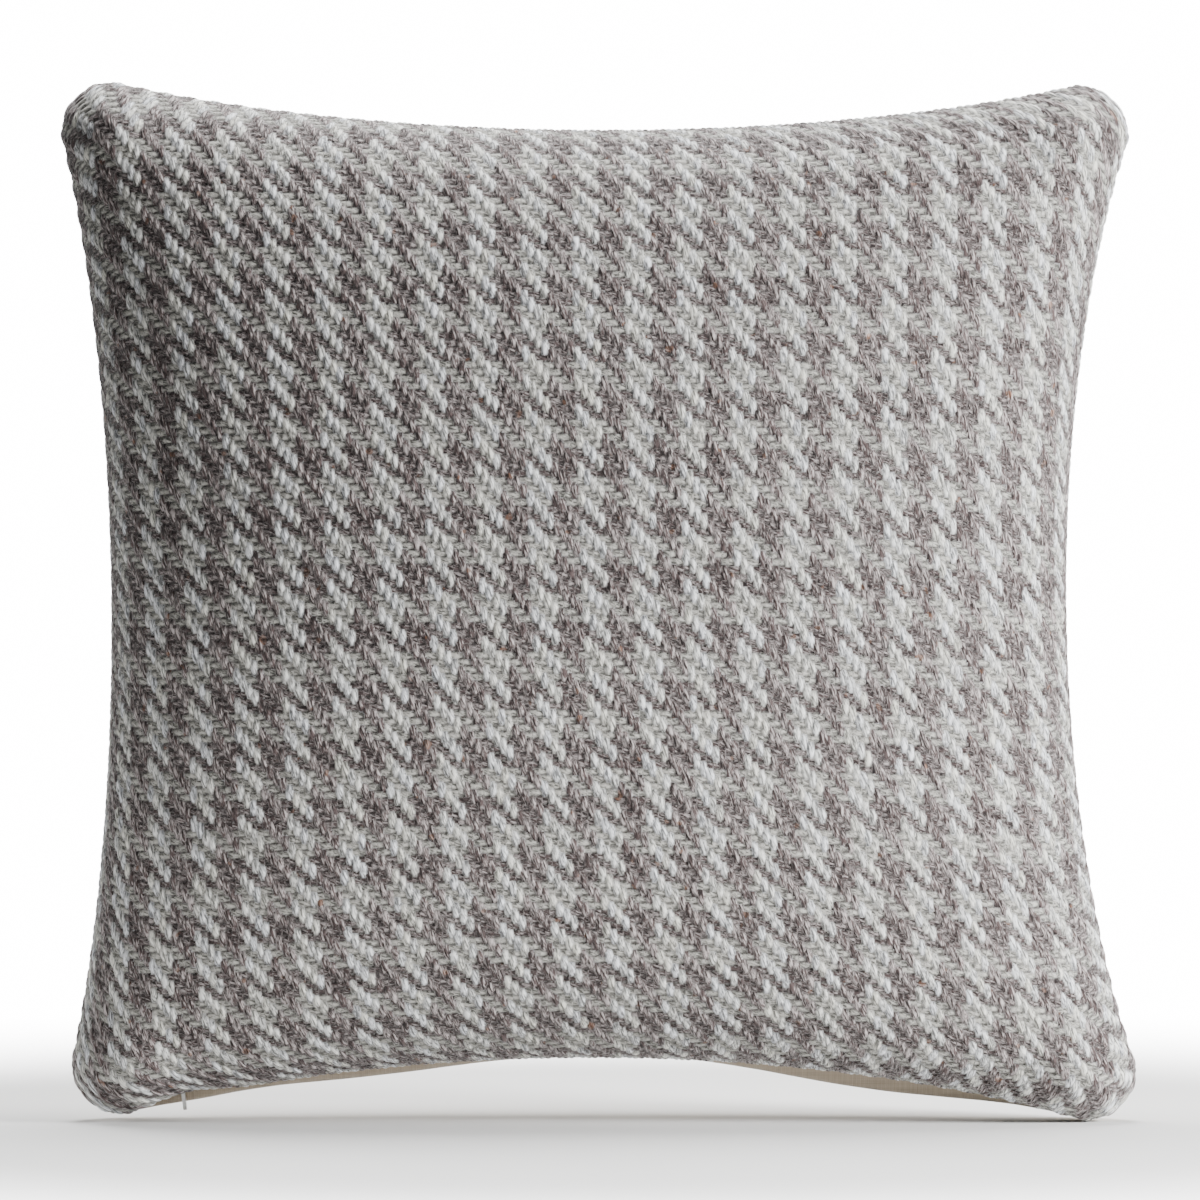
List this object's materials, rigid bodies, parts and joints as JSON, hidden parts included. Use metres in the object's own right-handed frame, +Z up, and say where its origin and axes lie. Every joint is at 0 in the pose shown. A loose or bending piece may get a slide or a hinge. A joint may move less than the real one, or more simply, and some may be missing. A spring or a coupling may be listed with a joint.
{
  "type": "throw pillow",
  "caption": "Square throw pillow: chunky woven houndstooth front, plain back, concealed zip along the bottom edge and a removable soft inner pad.",
  "frame": {"origin": "on the floor under the middle of the seam plane, midway between the two lower ears it stands on", "axes": "+X to the right across the woven front, +Y from the front to the plain back, +Z up from the zipped edge"},
  "size_m": [0.437, 0.148, 0.422],
  "materials": {
    "woven_front": "matte",
    "plain_back": "matte",
    "sewing_thread": "satin",
    "overlock_thread": "satin",
    "label_ribbon": "satin",
    "zip_tape": "matte",
    "zip_coil": "satin",
    "zip_metal": "satin",
    "pad_casing": "matte",
    "pad_filling": "matte"
  },
  "bodies": {
    "cushion": {"front_panel": "woven_front", "back_panel": "plain_back", "seam_needle_thread": "sewing_thread", "seam_bobbin_thread": "sewing_thread", "overlock_thread": "overlock_thread", "care_label": "label_ribbon", "zip_tape_front": "zip_tape", "zip_tape_back": "zip_tape", "zip_coil_front": "zip_coil", "zip_coil_back": "zip_coil", "zip_stitch_front": "sewing_thread", "zip_stitch_back": "sewing_thread", "zip_top_stops": "zip_metal", "zip_bottom_stop": "zip_metal", "zip_bar_tacks": "sewing_thread", "pad_casing_front": "pad_casing", "pad_casing_back": "pad_casing", "pad_seam_thread": "overlock_thread", "pad_closing_stitch": "sewing_thread", "pad_filling": "pad_filling"},
    "slider": {"slider_body": "zip_metal", "slider_cap": "zip_metal", "slider_lock_spring": "zip_metal"},
    "pull": {"zip_pull": "zip_metal"}
  },
  "joints": [
    {"name": "zip_travel", "type": "hinge", "parent": "cushion", "child": "slider", "pos_m": [0, 0, -0.8375], "axis": [0, 1, 0], "range_deg": [0, 22.3]},
    {"name": "pull_swing", "type": "hinge", "parent": "slider", "child": "pull", "pos_m": [-0.16918, 0, 0.01701], "axis": [0, 1, 0], "range_deg": [-73, 87]}
  ]
}
